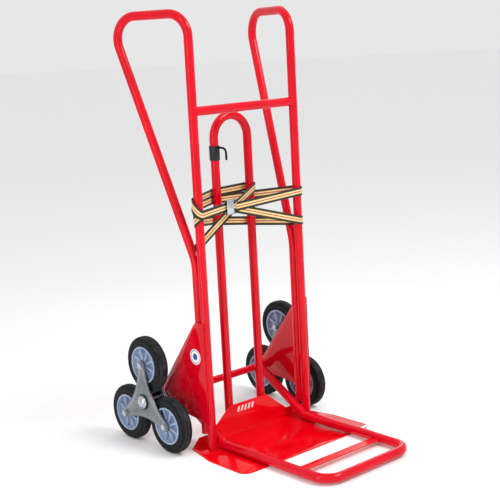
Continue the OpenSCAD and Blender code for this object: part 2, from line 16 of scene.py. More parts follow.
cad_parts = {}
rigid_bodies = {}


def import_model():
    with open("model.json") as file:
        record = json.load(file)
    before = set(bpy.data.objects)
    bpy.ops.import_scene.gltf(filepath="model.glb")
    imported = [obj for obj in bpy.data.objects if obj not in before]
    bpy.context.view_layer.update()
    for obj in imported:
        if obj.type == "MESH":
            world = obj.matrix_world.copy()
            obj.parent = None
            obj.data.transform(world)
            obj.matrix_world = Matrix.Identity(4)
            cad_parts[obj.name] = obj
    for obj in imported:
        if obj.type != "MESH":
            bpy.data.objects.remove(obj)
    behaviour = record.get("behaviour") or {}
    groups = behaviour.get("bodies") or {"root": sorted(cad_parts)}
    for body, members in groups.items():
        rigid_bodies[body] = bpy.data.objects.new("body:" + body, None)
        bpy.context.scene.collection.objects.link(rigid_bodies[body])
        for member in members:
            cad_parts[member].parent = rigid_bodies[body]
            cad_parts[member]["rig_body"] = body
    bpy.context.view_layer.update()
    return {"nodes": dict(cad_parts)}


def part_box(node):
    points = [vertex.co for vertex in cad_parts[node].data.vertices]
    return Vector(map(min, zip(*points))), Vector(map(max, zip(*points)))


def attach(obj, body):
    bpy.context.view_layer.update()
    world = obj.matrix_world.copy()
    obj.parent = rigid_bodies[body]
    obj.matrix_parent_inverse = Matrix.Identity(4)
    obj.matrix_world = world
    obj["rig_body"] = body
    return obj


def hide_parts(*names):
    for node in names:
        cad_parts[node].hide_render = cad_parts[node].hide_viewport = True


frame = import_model()
nodes = frame["nodes"]
MM = 0.001
SIDES = ("left", "right")
WHEELS = ("top", "rear", "front")

# %% [markdown]
# ## Camera
# A camera is placed by a rotation matrix whose columns are its right, up and backward directions.
# We build them from the viewing azimuth, elevation and roll, so each number has a plain meaning. The truck
# is seen from its front left and from a little above, through a lens that is longer than a normal one.

# %% Camera
def place_new(name, data):
    """A new object of this data, put into the scene."""
    thing = bpy.data.objects.new(name, data)
    bpy.context.scene.collection.objects.link(thing)
    return thing


AZIMUTH, ELEVATION, ROLL = (math.radians(v) for v in (-41.324, 10.827, -2.994))
LENS_MM, SENSOR_MM = 80.69184, 36.0
CAMERA_PLACE = Vector((-2.06057, -2.33466, 1.14121))
backward = Vector((math.sin(AZIMUTH) * math.cos(ELEVATION), -math.cos(AZIMUTH) * math.cos(ELEVATION),
                   math.sin(ELEVATION)))
right = (-backward).cross(Vector((0, 0, 1))).normalized()
up = right.cross(-backward)
cam_x = right * math.cos(ROLL) + up * math.sin(ROLL)
cam_y = up * math.cos(ROLL) - right * math.sin(ROLL)
camera_data = bpy.data.cameras.new("camera")
camera_data.sensor_width = SENSOR_MM
camera_data.lens = LENS_MM
camera_data.clip_end = 50
camera = place_new("camera", camera_data)
turn = Matrix((cam_x, cam_y, backward)).transposed()
camera.matrix_world = Matrix.Translation(CAMERA_PLACE) @ turn.to_4x4()
bpy.context.scene.camera = camera
print("lens %.1f mm" % camera_data.lens)

# %% [markdown]
# ## Two helpers for every finish
# Colours are written as sRGB hex values, as a paint chart gives them, but shaders reckon in linear light.
# And a node tree is easier to read when each node, its settings and its links stand in one call.

# %% Colour and node helpers
def linear(hex_colour, alpha=1.0):
    """An sRGB hex colour, such as 'D2001A', as the linear values that shaders use."""
    parts = [int(hex_colour[i:i + 2], 16) / 255 for i in (0, 2, 4)]
    return tuple(c / 12.92 if c <= 0.04045 else ((c + 0.055) / 1.055) ** 2.4 for c in parts) + (alpha,)


def add(tree, kind, links=None, stops=None, **settings):
    """Adds a node: settings are its properties, links its inputs (a socket is linked, a value is set)."""
    node = tree.nodes.new(kind)
    for key, value in settings.items():
        setattr(node, key, value)
    for key, value in (links or {}).items():
        if isinstance(value, bpy.types.NodeSocket):
            tree.links.new(value, node.inputs[key])
        else:
            node.inputs[key].default_value = value
    for i, (place, colour) in enumerate(stops or ()):
        ramp = node.color_ramp.elements
        stop = ramp[i] if i < len(ramp) else ramp.new(place)
        stop.position, stop.color = place, colour
    return node


print("sRGB FF8000 in linear light:", [round(c, 3) for c in linear("FF8000")])

# %% [markdown]
# ## Light and floor
# A product picture is lit softly: a bright surround fills the shadows, and one large lamp in front and above
# gives shape. Two tall, narrow lamps at the sides draw thin bright lines that show the tubes are round and
# glossy. The lamps light the truck but stay out of the picture. The Standard view transform keeps the red as
# strong as it is set, where the default one would pale it.

# %% Floor, surround and lamps
FLOOR_HALF, SURROUND_STRENGTH = 60, 0.8
# each lamp: its name, place, the height it points at, width and height in metres, and watts
LAMPS = (("key", (0.9, -2.2, 3.3), 0.5, (1.6, 1.2), 74),
         ("strip", (-1.5, -0.3, 1.2), 1.2, (0.09, 2.4), 9),
         ("back_strip", (1.7, 0.9, 1.3), 1.3, (0.12, 2.4), 6))
floor_mesh = bpy.data.meshes.new("floor")
floor_corners = [(x * FLOOR_HALF, y * FLOOR_HALF, 0) for x, y in ((-1, -1), (1, -1), (1, 1), (-1, 1))]
floor_mesh.from_pydata(floor_corners, [], [(0, 1, 2, 3)])
floor = place_new("floor", floor_mesh)
floor_paint = bpy.data.materials.new("studio_floor")
floor_paint.use_nodes = True
floor_shader = floor_paint.node_tree.nodes["Principled BSDF"]
floor_shader.inputs["Base Color"].default_value = linear("FBFBFB")
floor_shader.inputs["Roughness"].default_value = 0.9
floor_mesh.materials.append(floor_paint)

world = bpy.data.worlds.new("surround")
world.use_nodes = True
background = world.node_tree.nodes["Background"]
background.inputs["Color"].default_value = linear("FFFFFF")
background.inputs["Strength"].default_value = SURROUND_STRENGTH
bpy.context.scene.world = world
bpy.context.scene.view_settings.view_transform = "Standard"

for name, place, aim, size, watts in LAMPS:
    lamp_data = bpy.data.lights.new(name, "AREA")
    lamp_data.shape = "RECTANGLE"
    lamp_data.size, lamp_data.size_y = size
    lamp_data.energy = watts
    lamp = place_new(name, lamp_data)
    lamp.location = place
    lamp.rotation_euler = (Vector((0, 0, aim)) - Vector(place)).to_track_quat("-Z", "Y").to_euler()
    lamp.visible_camera = False
print("lamps placed:", len(LAMPS))

# %% [markdown]
# ## Finishes
# Each finish is one Principled shader with patterns on Object coordinates, which are metres here, so a
# noise scale of 250 means features about 4 mm apart. Base values that are the same everywhere are set on
# the shader itself, and only what varies is linked.

# %% A helper that starts a finish
def finish(name, **values):
    """A new material: its node tree, its shader and the Object coordinates."""
    material = bpy.data.materials.new(name)
    material.use_nodes = True
    tree = material.node_tree
    shader = tree.nodes["Principled BSDF"]
    for key, value in values.items():
        shader.inputs[key.replace("_", " ")].default_value = value
    place = add(tree, "ShaderNodeTexCoord").outputs["Object"]
    return material, tree, shader, place


def link(tree, shader, **sockets):
    """Links each socket to the shader's input of that name."""
    for key, socket in sockets.items():
        tree.links.new(socket, shader.inputs[key.replace("_", " ")])


print("finish helpers ready")

# %% [markdown]
# ### Red stove enamel
# The frame is welded steel tube, sprayed and baked. That leaves a glossy red skin with a faint orange
# peel, a few dusty patches that are less shiny, and fine scratches where boxes slide on and off. The
# same function makes the clean enamel of tubes and gussets and the scuffed one of the toe plate and crossbar.

# %% Red enamel, clean and scuffed
def enamel(name, base, deep, scuff):
    material, tree, shader, place = finish(name, Roughness=0.2, Specular_IOR_Level=0.2, Coat_Weight=0.1,
                                           Coat_Roughness=0.04)
    tone = add(tree, "ShaderNodeTexNoise", {"Vector": place, "Scale": 7.0, "Detail": 3.0})
    colour = add(tree, "ShaderNodeValToRGB", {"Fac": tone.outputs["Fac"]},
                 [(0.3, linear(deep)), (0.7, linear(base))])
    # scratches: noise squeezed to thin lines across the plate
    lines = add(tree, "ShaderNodeMapping", {"Vector": place, "Rotation": (0, 0, 1.35),
                                            "Scale": (9, 420, 420)})
    scratch = add(tree, "ShaderNodeTexNoise", {"Vector": lines.outputs["Vector"], "Scale": 1.0,
                                               "Detail": 4.0})
    mask = add(tree, "ShaderNodeMapRange", {"Value": scratch.outputs["Fac"], "From Min": 0.62,
                                            "From Max": 0.74, "To Min": 0.0, "To Max": scuff})
    worn = add(tree, "ShaderNodeMix", {0: mask.outputs["Result"], 6: colour.outputs["Color"],
                                       7: linear("F4564F")}, data_type="RGBA")
    dust = add(tree, "ShaderNodeTexNoise", {"Vector": place, "Scale": 34.0, "Detail": 4.0})
    rough = add(tree, "ShaderNodeMapRange", {"Value": dust.outputs["Fac"], "From Min": 0.35, "From Max": 0.75,
                                             "To Min": 0.08, "To Max": 0.2})
    peel = add(tree, "ShaderNodeTexNoise", {"Vector": place, "Scale": 250.0, "Detail": 2.0})
    bump = add(tree, "ShaderNodeBump", {"Height": peel.outputs["Fac"], "Strength": 0.12, "Distance": 0.0004})
    link(tree, shader, Base_Color=worn.outputs[2], Roughness=rough.outputs["Result"],
         Normal=bump.outputs["Normal"])
    return material


RED = enamel("red_stove_enamel", "DC0020", "C80018", 0.1)
RED_PLATE = enamel("red_enamel_scuffed", "F00016", "DC0010", 0.5)
print("enamel made")

# %% [markdown]
# ### Rubber, rim plastic and black plastic
# Solid rubber is almost black and matt, and turns grey where it rolls. Rims are injection-moulded
# polypropylene: pale blue-grey, slightly waxy. Nylon bushes and the latch sleeve are plain black mouldings.

# %% Rubber and plastics
def rubber(name):
    material, tree, shader, place = finish(name, Roughness=0.5, Specular_IOR_Level=0.14)
    tread = add(tree, "ShaderNodeAttribute", attribute_name="tread")
    grime = add(tree, "ShaderNodeTexNoise", {"Vector": place, "Scale": 60.0, "Detail": 5.0})
    worn = add(tree, "ShaderNodeMath", {0: tread.outputs["Fac"], 1: grime.outputs["Fac"]},
               operation="MULTIPLY")
    colour = add(tree, "ShaderNodeValToRGB", {"Fac": worn.outputs[0]},
                 [(0.0, linear("090B0F")), (0.34, linear("15171B")), (0.66, linear("3A3838"))])
    rough = add(tree, "ShaderNodeMapRange", {"Value": worn.outputs[0], "From Min": 0.0, "From Max": 0.6,
                                             "To Min": 0.42, "To Max": 0.8})
    grain = add(tree, "ShaderNodeTexNoise", {"Vector": place, "Scale": 900.0, "Detail": 2.0})
    bump = add(tree, "ShaderNodeBump", {"Height": grain.outputs["Fac"], "Strength": 0.25, "Distance": 0.0002})
    link(tree, shader, Base_Color=colour.outputs["Color"], Roughness=rough.outputs["Result"],
         Normal=bump.outputs["Normal"])
    return material


def moulded(name, light, dark, rough_low, rough_high, grain_scale, subsurface=0.0):
    """Moulded plastic: cloudy colour, uneven gloss and the fine grain of the mould."""
    material, tree, shader, place = finish(name, Specular_IOR_Level=0.4, Subsurface_Weight=subsurface,
                                           Subsurface_Scale=0.003)
    cloud = add(tree, "ShaderNodeTexNoise", {"Vector": place, "Scale": 28.0, "Detail": 4.0})
    colour = add(tree, "ShaderNodeValToRGB", {"Fac": cloud.outputs["Fac"]},
                 [(0.3, linear(dark)), (0.72, linear(light))])
    rough = add(tree, "ShaderNodeMapRange", {"Value": cloud.outputs["Fac"], "From Min": 0.3, "From Max": 0.7,
                                             "To Min": rough_low, "To Max": rough_high})
    grain = add(tree, "ShaderNodeTexNoise", {"Vector": place, "Scale": grain_scale, "Detail": 2.0})
    bump = add(tree, "ShaderNodeBump", {"Height": grain.outputs["Fac"], "Strength": 0.15, "Distance": 0.0002})
    link(tree, shader, Base_Color=colour.outputs["Color"], Roughness=rough.outputs["Result"],
         Normal=bump.outputs["Normal"])
    return material


RUBBER = rubber("solid_black_rubber")
RIM = moulded("blue_grey_polypropylene", "A0AEC8", "8494B2", 0.32, 0.5, 700.0, 0.05)
NYLON = moulded("black_nylon", "1B1E24", "0E1014", 0.35, 0.5, 700.0)
LATCH = moulded("black_abs", "1C1C20", "0C0C0E", 0.28, 0.42, 600.0)
print("rubber and plastics made")

# %% [markdown]
# ### Zinc, chrome and coated steel
# Pressed star plates are zinc plated and dull, with a faint rolling grain. Bolts, the axle and the buckle
# are bright zinc, slightly blue, and the spacer tubes are paler and rougher. The axle caps are polished
# chrome, and the latch hook is steel under a black coat. One function makes them all from a colour, a
# roughness range and the strength of the grain, which runs level.

# %% Metals
ROLLING_GRAIN = (60, 60, 720)


def plated(name, light, dark, rough_low, rough_high, grain=0.2):
    """Plated or coated metal: cloudy colour over a fine level grain."""
    material, tree, shader, place = finish(name, Metallic=1.0)
    cloud = add(tree, "ShaderNodeTexNoise", {"Vector": place, "Scale": 22.0, "Detail": 5.0})
    colour = add(tree, "ShaderNodeValToRGB", {"Fac": cloud.outputs["Fac"]},
                 [(0.32, linear(dark)), (0.7, linear(light))])
    lines = add(tree, "ShaderNodeMapping", {"Vector": place, "Scale": ROLLING_GRAIN})
    rolled = add(tree, "ShaderNodeTexNoise", {"Vector": lines.outputs["Vector"], "Scale": 1.0,
                                              "Detail": 3.0})
    rough = add(tree, "ShaderNodeMapRange", {"Value": rolled.outputs["Fac"], "From Min": 0.3, "From Max": 0.7,
                                             "To Min": rough_low, "To Max": rough_high})
    bump = add(tree, "ShaderNodeBump", {"Height": rolled.outputs["Fac"], "Strength": grain,
                                        "Distance": 0.0001})
    link(tree, shader, Base_Color=colour.outputs["Color"], Roughness=rough.outputs["Result"],
         Normal=bump.outputs["Normal"])
    return material


ZINC_PLATE = plated("dull_zinc_plate", "8B8F92", "72777A", 0.26, 0.42, 0.3)
ZINC = plated("bright_zinc", "C9CED6", "A7ADB6", 0.16, 0.3)
SPACER = plated("zinc_spacer_tube", "EEF0F4", "D6DAE2", 0.4, 0.55)
CHROME = plated("polished_chrome", "C3C7CE", "A9AEB6", 0.05, 0.12, 0.05)
HOOK = plated("black_coated_steel", "26272B", "17181B", 0.3, 0.5)
print("metals made")

# %% [markdown]
# ### Striped webbing
# The strap is woven polyester: black edges, two pale bands that are deeper yellow at their outer side, and a
# rust-brown line in the middle.
# Every ribbon carries two attributes, its distance along and its place across, both in millimetres, so
# stripes stay straight and the 2 mm rib of the weave turns every corner with the strap.

# %% Webbing
THICK, WIDE = 1.3, 25.0
RIB_ALONG, RIB_ACROSS = 2.0, 1.5


def webbing(name):
    material, tree, shader, _ = finish(name, Roughness=0.8, Sheen_Weight=0.25, Sheen_Roughness=0.4)
    across = add(tree, "ShaderNodeAttribute", attribute_name="across").outputs["Fac"]
    along = add(tree, "ShaderNodeAttribute", attribute_name="along").outputs["Fac"]
    place = add(tree, "ShaderNodeMapRange", {"Value": across, "From Min": -WIDE / 2, "From Max": WIDE / 2})
    edge, yellow, pale, rust = (linear(c) for c in ("1E1D1C", "E8B84E", "F4E2B0", "C2501E"))
    stripes = add(tree, "ShaderNodeValToRGB", {"Fac": place.outputs["Result"]}, [
        (0.0, edge), (0.25, yellow), (0.32, pale), (0.44, rust), (0.56, pale), (0.68, yellow), (0.75, edge)])
    stripes.color_ramp.interpolation = "CONSTANT"
    # plain weave: two sets of sine ribs, one along the strap and one across it
    ribs = []
    for source, pitch in ((along, RIB_ALONG), (across, RIB_ACROSS)):
        phase = add(tree, "ShaderNodeMath", {0: source, 1: 2 * math.pi / pitch}, operation="MULTIPLY")
        ribs.append(add(tree, "ShaderNodeMath", {0: phase.outputs[0]}, operation="SINE").outputs[0])
    weave = add(tree, "ShaderNodeMath", {0: ribs[0], 1: ribs[1]}, operation="MULTIPLY").outputs[0]
    shade = add(tree, "ShaderNodeMapRange", {"Value": weave, "From Min": -1, "From Max": 1, "To Min": 0.8,
                                             "To Max": 1.08})
    colour = add(tree, "ShaderNodeMix", {0: 1.0, 6: stripes.outputs["Color"], 7: shade.outputs["Result"]},
                 data_type="RGBA", blend_type="MULTIPLY")
    rough = add(tree, "ShaderNodeMapRange", {"Value": weave, "From Min": -1, "From Max": 1, "To Min": 0.9,
                                             "To Max": 0.68})
    bump = add(tree, "ShaderNodeBump", {"Height": weave, "Strength": 0.5, "Distance": 0.0005})
    link(tree, shader, Base_Color=colour.outputs[2], Roughness=rough.outputs["Result"],
         Normal=bump.outputs["Normal"])
    return material


WEBBING = webbing("striped_polyester_webbing")
print("webbing made")

# %% [markdown]
# ## Tools for making pieces
# Three ways of making cover this object. A mesh can be written point by point and turned round an axis,
# like work on a lathe. A CAD solid can be copied and its edges softened, because no real edge is sharp.
# And a Geometry Nodes tree can repeat or sweep a shape, which suits bolts, spokes, weld ripples and webbing.

# %% Mesh helpers
def middle(node):
    """The middle of a CAD node's box."""
    low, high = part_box(node)
    return (low + high) / 2


def body_of(node):
    return nodes[node]["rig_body"]


def make(name, vertices, faces, material, smooth_below=35.0):
    """A mesh object from points in metres, with smooth shading except across sharp edges."""
    mesh = bpy.data.meshes.new(name)
    mesh.from_pydata([tuple(v) for v in vertices], [], faces)
    mesh.materials.append(material)
    return settle(name, mesh, smooth_below)


def settle(name, mesh, smooth_below=35.0):
    """Merges doubles, turns every face outwards and puts the mesh into the scene."""
    work = bmesh.new()
    work.from_mesh(mesh)
    bmesh.ops.remove_doubles(work, verts=work.verts, dist=1e-6)
    bmesh.ops.recalc_face_normals(work, faces=work.faces)
    work.to_mesh(mesh)
    work.free()
    mesh.shade_smooth()
    mesh.set_sharp_from_angle(angle=math.radians(smooth_below))
    return place_new(name, mesh)


def turned(name, profile, centre, material, steps=96, mark=None):
    """Turns a closed profile of (radius, x) in millimetres round the X axis through centre."""
    vertices, marks = [], []
    for step in range(steps):
        turn = 2 * math.pi * step / steps
        for radius, x in profile:
            vertices.append(centre + Vector((x, radius * math.cos(turn), radius * math.sin(turn))) * MM)
            marks.append(mark(radius) if mark else 0.0)
    count = len(profile)
    faces = [(s * count + p, s * count + (p + 1) % count, (s + 1) % steps * count + (p + 1) % count,
              (s + 1) % steps * count + p) for s in range(steps) for p in range(count)]
    piece = make(name, vertices, faces, material)
    if mark:
        piece.data.attributes.new("tread", "FLOAT", "POINT").data.foreach_set("value", marks)
    return piece


def baked(host):
    """The host's evaluated shape as a plain mesh; the modifiers stay behind on the host, which goes."""
    bpy.context.view_layer.update()
    graph = bpy.context.evaluated_depsgraph_get()
    mesh = bpy.data.meshes.new_from_object(host.evaluated_get(graph))
    bpy.data.objects.remove(host)
    return mesh


def softened(node, width, material, angle=32.0, segments=2):
    """Replaces a CAD node by a copy whose edges are rounded by width millimetres."""
    mesh = nodes[node].data.copy()
    work = bmesh.new()
    work.from_mesh(mesh)
    bmesh.ops.remove_doubles(work, verts=work.verts, dist=2e-6)
    bmesh.ops.dissolve_limit(work, angle_limit=math.radians(0.3), verts=work.verts, edges=work.edges)
    work.to_mesh(mesh)
    work.free()
    mesh.materials.clear()
    mesh.materials.append(material)
    mesh.shade_smooth()
    host = place_new("host", mesh)
    bevel = host.modifiers.new("bevel", "BEVEL")
    bevel.width, bevel.segments, bevel.limit_method = width * MM, segments, "ANGLE"
    bevel.angle_limit, bevel.harden_normals = math.radians(angle), True
    piece = place_new(node + "_softened", baked(host))
    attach(piece, body_of(node))
    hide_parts(node)


print("mesh helpers ready")

# %% [markdown]
# A Geometry Nodes tree is built once with named inputs and used many times. Its inputs are set by the
# socket's identifier, because two sockets may share a name. The result is turned into a plain mesh.

# %% Geometry Nodes helpers
SOCKETS = {"Object": "NodeSocketObject", "Material": "NodeSocketMaterial", "Int": "NodeSocketInt",
           "Float": "NodeSocketFloat", "Vector": "NodeSocketVector"}


def new_tree(name, **inputs):
    """A tree with the named inputs, its input node, and a function that closes it on a geometry."""
    tree = bpy.data.node_groups.new(name, "GeometryNodeTree")
    tree.interface.new_socket("Geometry", in_out="OUTPUT", socket_type="NodeSocketGeometry")
    for label, kind in inputs.items():
        tree.interface.new_socket(label, in_out="INPUT", socket_type=SOCKETS[kind])
    source = tree.nodes.new("NodeGroupInput")

    def close(geometry):
        real = add(tree, "GeometryNodeRealizeInstances", {"Geometry": geometry})
        painted = add(tree, "GeometryNodeSetMaterial", {"Geometry": real.outputs["Geometry"],
                                                        "Material": source.outputs["Material"]})
        add(tree, "NodeGroupOutput", {"Geometry": painted.outputs["Geometry"]})

    return tree, source.outputs, close


def grow(name, tree, **values):
    """Runs a tree with these input values and returns its result as a plain object at the origin."""
    host = place_new("host", bpy.data.meshes.new("host"))
    modifier = host.modifiers.new("grow", "NODES")
    modifier.node_group = tree
    for item in tree.interface.items_tree:
        if item.in_out == "INPUT" and item.name in values:
            modifier[item.identifier] = values[item.name]
    return place_new(name, baked(host))


def polyline(points):
    """A throw-away object of points in metres joined by edges, for a tree to follow."""
    mesh = bpy.data.meshes.new("path")
    mesh.from_pydata([tuple(p) for p in points], [(i, i + 1) for i in range(len(points) - 1)], [])
    return place_new("path", mesh)


def drop(*objects):
    """Deletes helper objects that have done their work."""
    for thing in objects:
        bpy.data.objects.remove(thing)


def joined(name, pieces, material):
    """One smooth object of this finish from several pieces, which are deleted."""
    work = bmesh.new()
    for piece in pieces:
        work.from_mesh(piece.data)
    mesh = bpy.data.meshes.new(name)
    work.to_mesh(mesh)
    work.free()
    drop(*pieces)
    mesh.materials.append(material)
    mesh.shade_smooth()
    return place_new(name, mesh)


print("tree helpers ready")

# %% [markdown]
# ### A part repeated on a circle
# Spokes, bolts and nuts all stand evenly on a circle round the X axis. The tree reckons each one's angle from
# its number, puts a point there and sets the part on it, turned by the same angle.

# %% Tree: parts on a circle
ring_tree, given, close = new_tree("parts_on_a_circle", Part="Object", Count="Int", Radius="Float",
                                   Centre="Vector", Start="Float", Material="Material")
index = add(ring_tree, "GeometryNodeInputIndex").outputs["Index"]
share = add(ring_tree, "ShaderNodeMath", {0: 2 * math.pi, 1: given["Count"]}, operation="DIVIDE").outputs[0]
angle = add(ring_tree, "ShaderNodeMath", {0: index, 1: share, 2: given["Start"]},
            operation="MULTIPLY_ADD").outputs[0]
cos_sin = []
for function in ("COSINE", "SINE"):
    unit = add(ring_tree, "ShaderNodeMath", {0: angle}, operation=function).outputs[0]
    cos_sin.append(add(ring_tree, "ShaderNodeMath", {0: unit, 1: given["Radius"]},
                       operation="MULTIPLY").outputs[0])
offset = add(ring_tree, "ShaderNodeCombineXYZ", {"Y": cos_sin[0], "Z": cos_sin[1]}).outputs[0]
spot = add(ring_tree, "ShaderNodeVectorMath", {0: offset, 1: given["Centre"]}).outputs[0]
points = add(ring_tree, "GeometryNodePoints", {"Count": given["Count"], "Position": spot}).outputs[0]
part = add(ring_tree, "GeometryNodeObjectInfo", {"Object": given["Part"]}).outputs["Geometry"]
spin = add(ring_tree, "ShaderNodeCombineXYZ", {"X": angle}).outputs[0]
repeated = add(ring_tree, "GeometryNodeInstanceOnPoints", {"Points": points, "Instance": part,
                                                           "Rotation": spin})
close(repeated.outputs[0])
print("tree ready:", ring_tree.name)

# %% [markdown]
# ### Ripples of a weld
# A weld follows a path. The tree sets a low drop at every step of the path and varies its size a little,
# from a seed that each line of weld is given.

# %% Tree: weld bead
SMALLEST_DROP, LARGEST_DROP, DROP_HEIGHT = 0.82, 1.15, 0.75
weld_tree, given, close = new_tree("weld_bead", Path="Object", Spacing="Float", Size="Float", Seed="Int",
                                   Material="Material")
path = add(weld_tree, "GeometryNodeObjectInfo", {"Object": given["Path"]}).outputs["Geometry"]
curve = add(weld_tree, "GeometryNodeMeshToCurve", {"Mesh": path}).outputs[0]
beads = add(weld_tree, "GeometryNodeCurveToPoints", {"Curve": curve, "Length": given["Spacing"]},
            mode="LENGTH")
drop_shape = add(weld_tree, "GeometryNodeMeshIcoSphere", {"Radius": given["Size"], "Subdivisions": 2})
uneven = add(weld_tree, "FunctionNodeRandomValue", {2: SMALLEST_DROP, 3: LARGEST_DROP, "Seed": given["Seed"]},
             data_type="FLOAT").outputs[1]
scale = add(weld_tree, "ShaderNodeCombineXYZ", {"X": uneven, "Y": uneven, "Z": DROP_HEIGHT}).outputs[0]
drops = add(weld_tree, "GeometryNodeInstanceOnPoints", {
    "Points": beads.outputs["Points"], "Instance": drop_shape.outputs["Mesh"],
    "Rotation": beads.outputs["Rotation"], "Scale": scale})
close(drops.outputs[0])
print("tree ready:", weld_tree.name)

# %% [markdown]
# ### Webbing on its edge
# A strap that goes round upright tubes stands on its edge. The tree sweeps a flat outline along the path and
# keeps the outline's long side upright. Its sides have many points, so the attributes read smoothly.

# %% Tree: ribbon on edge
ribbon_tree, given, close = new_tree("ribbon_on_edge", Path="Object", Width="Float", Thickness="Float",
                                     Material="Material")
path = add(ribbon_tree, "GeometryNodeObjectInfo", {"Object": given["Path"]}).outputs["Geometry"]
curve = add(ribbon_tree, "GeometryNodeMeshToCurve", {"Mesh": path}).outputs[0]
upright = add(ribbon_tree, "GeometryNodeSetCurveNormal", {"Curve": curve}, mode="Z_UP").outputs[0]
outline = add(ribbon_tree, "GeometryNodeCurvePrimitiveQuadrilateral", {"Width": given["Thickness"],
                                                                       "Height": given["Width"]}).outputs[0]
fine = add(ribbon_tree, "GeometryNodeResampleCurve", {"Curve": outline, "Count": 36}).outputs[0]
swept = add(ribbon_tree, "GeometryNodeCurveToMesh", {"Curve": upright, "Profile Curve": fine,
                                                     "Fill Caps": True})
close(swept.outputs[0])
print("tree ready:", ribbon_tree.name)

# %% [markdown]
# ### A pressed line
# A fine raised line is a thin round bead along a path, sunk by about two thirds into the plate.

# %% Tree: pressed line
line_tree, given, close = new_tree("pressed_line", Path="Object", Size="Float", Material="Material")
path = add(line_tree, "GeometryNodeObjectInfo", {"Object": given["Path"]}).outputs["Geometry"]
curve = add(line_tree, "GeometryNodeMeshToCurve", {"Mesh": path}).outputs[0]
bead = add(line_tree, "GeometryNodeCurvePrimitiveCircle", {"Resolution": 12, "Radius": given["Size"]})
swept = add(line_tree, "GeometryNodeCurveToMesh", {"Curve": curve, "Profile Curve": bead.outputs["Curve"],
                                                   "Fill Caps": True})
close(swept.outputs[0])
print("tree ready:", line_tree.name)

# %% [markdown]
# ## The welded frame
# The tubes are bent steel tube, and their CAD shape is right, so they only get the enamel. Plates get the
# small round edge that cutting and painting leave, because that edge is what catches the light.

# %% Tubes and plates
def paint_node(node, paint):
    """Keeps a CAD node's shape and gives it a finish."""
    nodes[node].data.materials.clear()
    nodes[node].data.materials.append(paint)


for node in ("left_side_tube", "right_side_tube", "top_cross_tube", "centre_hoop", "axle_tube",
             "extension_frame", "extension_sleeves"):
    paint_node(node, RED)
for node, width, paint in (("toe_plate", 1.3, RED_PLATE), ("left_gusset", 0.9, RED),
                           ("right_gusset", 0.9, RED), ("extension_crossbar", 1.0, RED_PLATE)):
    softened(node, width, paint)
print("frame painted")

# %% [markdown]
# ### Welds
# A weld is a row of frozen ripples, each a flattened drop about 3 mm across. Following the line where two
# parts meet, the tree sets one drop every 2 mm, with a little seeded unevenness in their size.

# %% Weld beads
def ring_line(cx, cy, z, radius, start, end, steps=24):
    """Points of an arc round a vertical tube, in millimetres and degrees."""
    turns = [math.radians(start + (end - start) * i / steps) for i in range(steps + 1)]
    return [(cx + radius * math.cos(t), cy + radius * math.sin(t), z) for t in turns]


def weld(name, body, lines, size=1.6, spacing=2.1):
    """One piece of weld beads along these lines, in millimetres, that rides on a body."""
    pieces = []
    for number, line in enumerate(lines):
        path = polyline([Vector(p) * MM for p in line])
        pieces.append(grow("bead", weld_tree, Path=path, Spacing=spacing * MM, Size=size * MM, Seed=number,
                           Material=RED))
        drop(path)
    bead = joined(name, pieces, RED)
    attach(bead, body)


print("weld helpers ready")

# %% [markdown]
# The places of the seams come from the frame: the saddles of the upper cross tube, the feet of the uprights,
# short runs along the gussets and rear tubes, the hoop's legs on the flange and rings round the axle tube.

# %% Seams of the frame and the extension
TUBE_R, UP_X, HOOP_X, HOOP_Y, AXLE_Y, AXLE_Z = 12.5, 185.0, 62.0, 66.5, 175.0, 133.5
CROSS_Z, FOOT_Z, AXLE_SEAM_R = 950, 4.6, 11.4
GUSSET_FRONT, GUSSET_REAR, REAR_TUBE = (90, 180, 270, 348), (110, 230, 330), (60, 300, 440, 500)
seams = []
for s in (-1, 1):
    saddle = []
    for i in range(41):
        t = 2 * math.pi * i / 40
        y, z = TUBE_R * math.cos(t) * 0.999, CROSS_Z + TUBE_R * math.sin(t)
        saddle.append((s * (UP_X - math.sqrt(max(TUBE_R ** 2 - y ** 2, 0.3)) + 0.2), y * 1.02, z))
    seams.append(saddle)
    seams.append(ring_line(s * UP_X, 0, FOOT_Z, TUBE_R + 0.4, -150, -30))
    seams.append(ring_line(s * UP_X, 0, FOOT_Z, TUBE_R + 0.4, 40, 140))
    for z0 in GUSSET_FRONT:
        seams.append([(s * 197.2, -7.4, z0), (s * 197.2, -7.4, z0 + 22)])
    for z0 in GUSSET_REAR:
        seams.append([(s * 196.6, 31.5, z0), (s * 196.6, 31.5, z0 + 20)])
    for z0 in REAR_TUBE:
        seams.append([(s * UP_X - 5, 12.8, z0), (s * UP_X - 5, 12.8, z0 + 24)])
        seams.append([(s * UP_X + 5, 12.8, z0), (s * UP_X + 5, 12.8, z0 + 24)])
    for dx in (-6.5, 6.5):
        seams.append([(s * HOOP_X + dx, 54.9, 16), (s * HOOP_X + dx, 54.9, 84)])
    circle = [(s * 196.9, AXLE_Y + AXLE_SEAM_R * math.cos(t), AXLE_Z + AXLE_SEAM_R * math.sin(t))
              for t in np.linspace(0, 2 * math.pi, 31)]
    seams.append(circle)
weld("frame_welds", "frame", seams)
bar_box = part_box("extension_crossbar")
bar_low, bar_high = (corner.y / MM for corner in bar_box)
bar_z = middle("extension_crossbar").z / MM
seam_x = bar_box[1].x / MM - 1.6
bar_seams = [[(s * seam_x, bar_low + 1, bar_z + dz), (s * seam_x, bar_high - 1, bar_z + dz)]
             for s in (-1, 1) for dz in (-2.9, 2.9)]
weld("extension_welds", "toe_extension", bar_seams, size=1.4)
print("seams:", len(seams), "on the frame,", len(bar_seams), "on the extension")

# %% [markdown]
# ## Wheels
# Each wheel is a solid rubber tyre on a moulded rim. The tyre's section has a flat tread with two fine
# grooves near each shoulder, round shoulders and a raised bead beside the rim, so it is drawn once as a
# profile and turned. Only the tread is marked, and the rubber finish greys it.

